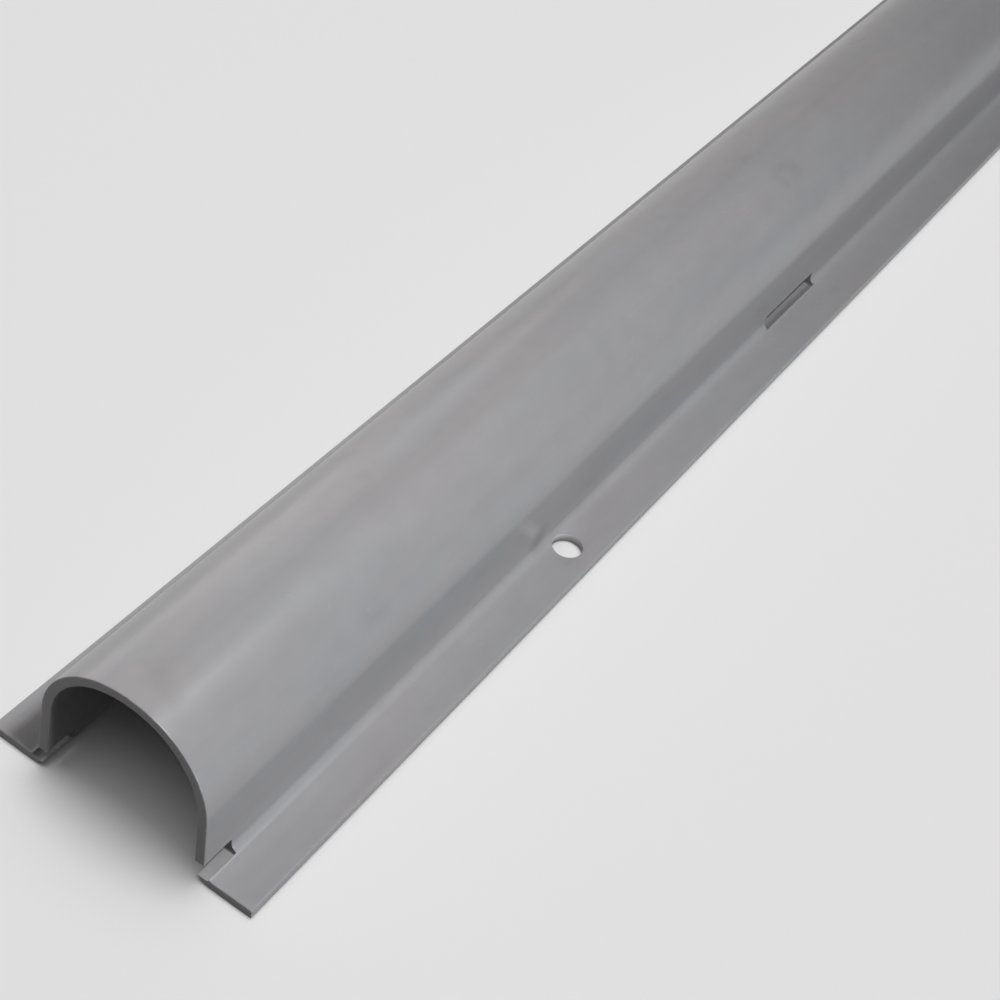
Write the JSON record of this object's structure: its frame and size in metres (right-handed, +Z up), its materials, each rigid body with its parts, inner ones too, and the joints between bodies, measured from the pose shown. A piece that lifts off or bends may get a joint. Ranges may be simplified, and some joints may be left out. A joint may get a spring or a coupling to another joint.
{
  "type": "cable raceway",
  "caption": "Length of extruded grey PVC cable raceway: a round-topped open channel with flat flanges, strap slots and screw holes.",
  "frame": {"origin": "middle of the length and width, at the underside of the flanges", "axes": "+Y along the length, away from the end that is sawn through a slot; +Z up through the crown; +X towards the right flange"},
  "size_m": [0.108, 1.524, 0.063],
  "materials": {
    "grey_pvc": "satin extruded PVC, light grey"
  },
  "bodies": {
    "root": {"raceway_channel": "grey_pvc"}
  },
  "joints": []
}
